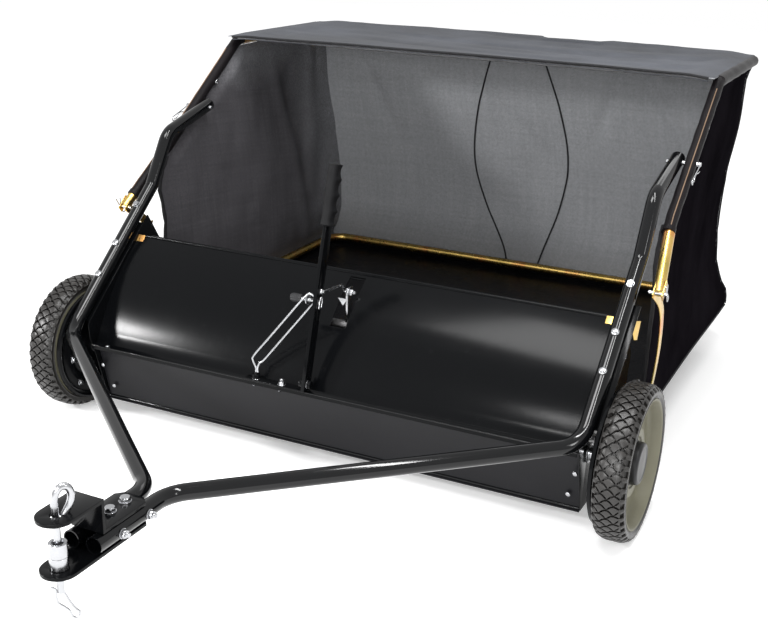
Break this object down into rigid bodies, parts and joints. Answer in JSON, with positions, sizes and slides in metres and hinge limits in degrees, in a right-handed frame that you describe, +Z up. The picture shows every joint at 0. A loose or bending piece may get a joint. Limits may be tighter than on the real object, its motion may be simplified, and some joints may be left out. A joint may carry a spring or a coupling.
{
  "type": "tow-behind lawn sweeper",
  "caption": "Tow-behind lawn sweeper: V tow frame with pin hitch, half-round brush housing on two wheels, height lever and a tipping fabric hopper behind.",
  "frame": {"origin": "on the ground, under the middle of the whole machine's box", "axes": "+Y to the hopper at the rear, -Y to the hitch and the way it travels, +X to the right-hand wheel in the picture, +Z up"},
  "size_m": [1.136, 1.679, 0.666],
  "materials": {
    "bag_fabric": "woven grey mesh and coated black vinyl",
    "beige_plastic": "beige-olive moulded plastic, satin",
    "black_gloss_paint": "very glossy black powder coat",
    "black_plastic": "black moulded plastic, satin",
    "black_rubber": "matt black rubber",
    "bright_zinc": "bright zinc plate",
    "bristle": "matt black nylon bristle",
    "charcoal_satin_paint": "satin charcoal powder coat",
    "dark_steel": "oiled steel",
    "yellow_zinc": "yellow zinc plate with a faint green and orange sheen"
  },
  "bodies": {
    "housing_frame": {"housing_cover": "black_gloss_paint", "end_plate_left": "black_gloss_paint", "end_plate_right": "black_gloss_paint", "front_panel": "charcoal_satin_paint", "draw_tube_left": "black_gloss_paint", "tube_cap_left": "black_plastic", "draw_tube_right": "black_gloss_paint", "tube_cap_right": "black_plastic", "hitch_plate_lower": "black_gloss_paint", "hitch_bracket_upper": "black_gloss_paint", "hitch_bolt_front": "bright_zinc", "hitch_bolt_rear": "bright_zinc", "hitch_spacer": "bright_zinc", "lever_bracket": "black_gloss_paint", "pivot_pin_left": "bright_zinc", "pivot_pin_right": "bright_zinc", "extension_tube_left": "black_gloss_paint", "extension_tube_right": "black_gloss_paint", "corner_bracket_left": "yellow_zinc", "corner_bracket_right": "yellow_zinc"},
    "wheel_left": {"tyre_left": "black_rubber", "rim_left": "beige_plastic", "hub_cap_left": "black_plastic", "ring_gear_left": "black_plastic"},
    "wheel_right": {"tyre_right": "black_rubber", "rim_right": "beige_plastic", "hub_cap_right": "black_plastic", "ring_gear_right": "black_plastic"},
    "brush_carrier": {"height_arm_left": "dark_steel", "height_arm_right": "dark_steel", "brush_bearing_left": "black_plastic", "brush_bearing_right": "black_plastic", "stub_axle_left": "dark_steel", "stub_axle_right": "dark_steel", "height_cross_tube": "dark_steel", "height_crank": "bright_zinc"},
    "brush": {"brush_shaft": "dark_steel", "brush_core": "black_plastic", "drive_pinion_left": "dark_steel", "bristle_row_left_1": "bristle", "bristle_row_left_2": "bristle", "bristle_row_left_3": "bristle", "bristle_row_right_1": "bristle", "bristle_row_right_2": "bristle", "bristle_row_right_3": "bristle"},
    "pinion_right": {"drive_pinion_right": "dark_steel"},
    "height_lever": {"height_lever": "black_gloss_paint", "lever_grip": "black_rubber"},
    "link_rod": {"link_rod": "bright_zinc"},
    "adjust_strap": {"adjust_strap": "bright_zinc"},
    "adjust_knob": {"adjust_knob": "black_plastic"},
    "hitch_pin": {"hitch_pin": "bright_zinc", "hitch_hairpin": "bright_zinc"},
    "hopper": {"hopper_bag": "bag_fabric", "hopper_post_left": "yellow_zinc", "hopper_post_right": "yellow_zinc", "hopper_lower_frame": "yellow_zinc", "hopper_top_tube": "yellow_zinc", "mouth_rod": "dark_steel"}
  },
  "joints": [
    {"name": "height_swing", "type": "hinge", "parent": "housing_frame", "child": "brush_carrier", "pos_m": [0, -0.1175, 0.127], "axis": [1, 0, 0], "range_deg": [-5, 7]},
    {"name": "wheel_left_spin", "type": "hinge", "parent": "brush_carrier", "child": "wheel_left", "pos_m": [-0.542, -0.1175, 0.127], "axis": [1, 0, 0], "continuous": true},
    {"name": "wheel_right_spin", "type": "hinge", "parent": "brush_carrier", "child": "wheel_right", "pos_m": [0.542, -0.1175, 0.127], "axis": [1, 0, 0], "continuous": true},
    {"name": "brush_spin", "type": "hinge", "parent": "brush_carrier", "child": "brush", "pos_m": [0, -0.03952, 0.11604], "axis": [1, 0, 0], "continuous": true},
    {"name": "pinion_right_spin", "type": "hinge", "parent": "brush_carrier", "child": "pinion_right", "pos_m": [0.525, -0.03952, 0.11604], "axis": [1, 0, 0], "continuous": true},
    {"name": "lever_swing", "type": "hinge", "parent": "housing_frame", "child": "height_lever", "pos_m": [-0.008, -0.1775, 0.166], "axis": [1, 0, 0], "range_deg": [-5.67, 7.95]},
    {"name": "link_swing", "type": "hinge", "parent": "height_lever", "child": "link_rod", "pos_m": [-0.008, -0.13475, 0.32122], "axis": [1, 0, 0], "range_deg": [-6.86, 4.9]},
    {"name": "strap_swing", "type": "hinge", "parent": "housing_frame", "child": "adjust_strap", "pos_m": [-0.114, -0.1675, 0.1639], "axis": [0.8453, -0.1419, -0.5152], "range_deg": [-4.8, 6.72]},
    {"name": "knob_turn", "type": "hinge", "parent": "height_lever", "child": "adjust_knob", "pos_m": [-0.024, -0.13953, 0.30387], "axis": [1, 0, 0], "continuous": true},
    {"name": "hitch_pin_turn", "type": "hinge", "parent": "housing_frame", "child": "hitch_pin", "pos_m": [0, -0.8135, 0.19], "axis": [0, 0, 1], "continuous": true},
    {"name": "hopper_tip", "type": "hinge", "parent": "housing_frame", "child": "hopper", "pos_m": [0, 0.2395, 0.533], "axis": [1, 0, 0], "range_deg": [0, 85]}
  ],
  "couplings": [
    {"joint": "brush_spin", "follows": "wheel_left_spin", "ratio": 6.25},
    {"joint": "pinion_right_spin", "follows": "wheel_right_spin", "ratio": 6.25},
    {"joint": "lever_swing", "follows": "height_swing", "ratio": 1.135},
    {"joint": "link_swing", "follows": "height_swing", "ratio": -0.98},
    {"joint": "strap_swing", "follows": "height_swing", "ratio": 0.9601}
  ]
}
